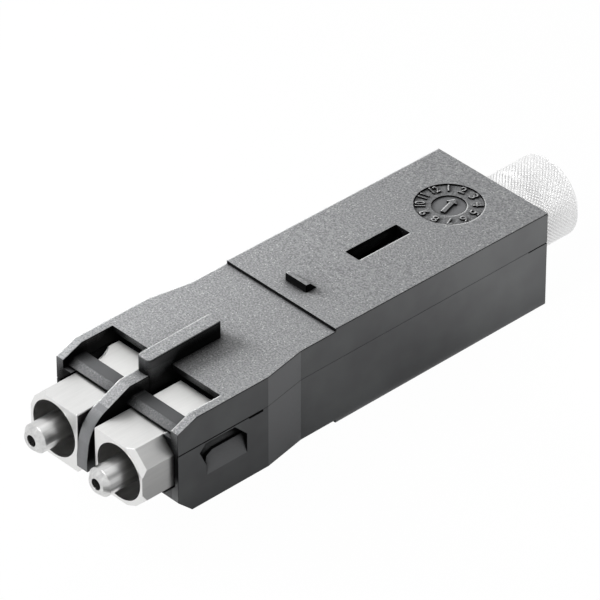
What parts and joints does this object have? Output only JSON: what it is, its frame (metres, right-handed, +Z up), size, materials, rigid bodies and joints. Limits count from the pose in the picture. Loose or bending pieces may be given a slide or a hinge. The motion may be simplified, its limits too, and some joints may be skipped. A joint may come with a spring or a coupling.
{
  "type": "duplex fibre plug insert",
  "caption": "Fibre plug with sprung round ferrules in square metal housings, a split plastic casing with a key rib, and a knurled metal crimp neck.",
  "frame": {"origin": "middle of the bounding box, on the underside", "axes": "+Y from the ferrules to the knurled neck, +Z up to the key rib, +X to the side that is on the right seen from the ferrules"},
  "size_m": [0.014, 0.0526, 0.0104],
  "materials": {
    "casing_plastic": "fine spark-eroded grain on top, satin on the sides",
    "neck_metal": "fine diamond knurl",
    "housing_metal": "satin, milled chamfers",
    "ferrule_metal": "turned and ground",
    "spring_steel": "drawn wire",
    "bush_brass": "turned",
    "ring_metal": "drawn tube"
  },
  "bodies": {
    "casing": {"lower_shell": "casing_plastic", "upper_shell": "casing_plastic", "crimp_neck": "neck_metal", "square_housing_left": "housing_metal", "stop_bush_left": "bush_brass", "ferrule_spring_left": "spring_steel", "square_housing_right": "housing_metal", "stop_bush_right": "bush_brass", "ferrule_spring_right": "spring_steel"},
    "ferrule_left_slide": {"ferrule_left": "ferrule_metal", "fibre_crimp_ring_left": "ring_metal"},
    "ferrule_right_slide": {"ferrule_right": "ferrule_metal", "fibre_crimp_ring_right": "ring_metal"}
  },
  "joints": [
    {"name": "ferrule_left_push", "type": "slide", "parent": "casing", "child": "ferrule_left_slide", "axis": [0, 1, 0], "range_m": [0, 0.001], "stiffness_N_per_m": 1500, "springref_m": -0.0035, "deforming": ["ferrule_spring_left"]},
    {"name": "ferrule_right_push", "type": "slide", "parent": "casing", "child": "ferrule_right_slide", "axis": [0, 1, 0], "range_m": [0, 0.001], "stiffness_N_per_m": 1500, "springref_m": -0.0035, "deforming": ["ferrule_spring_right"]}
  ]
}
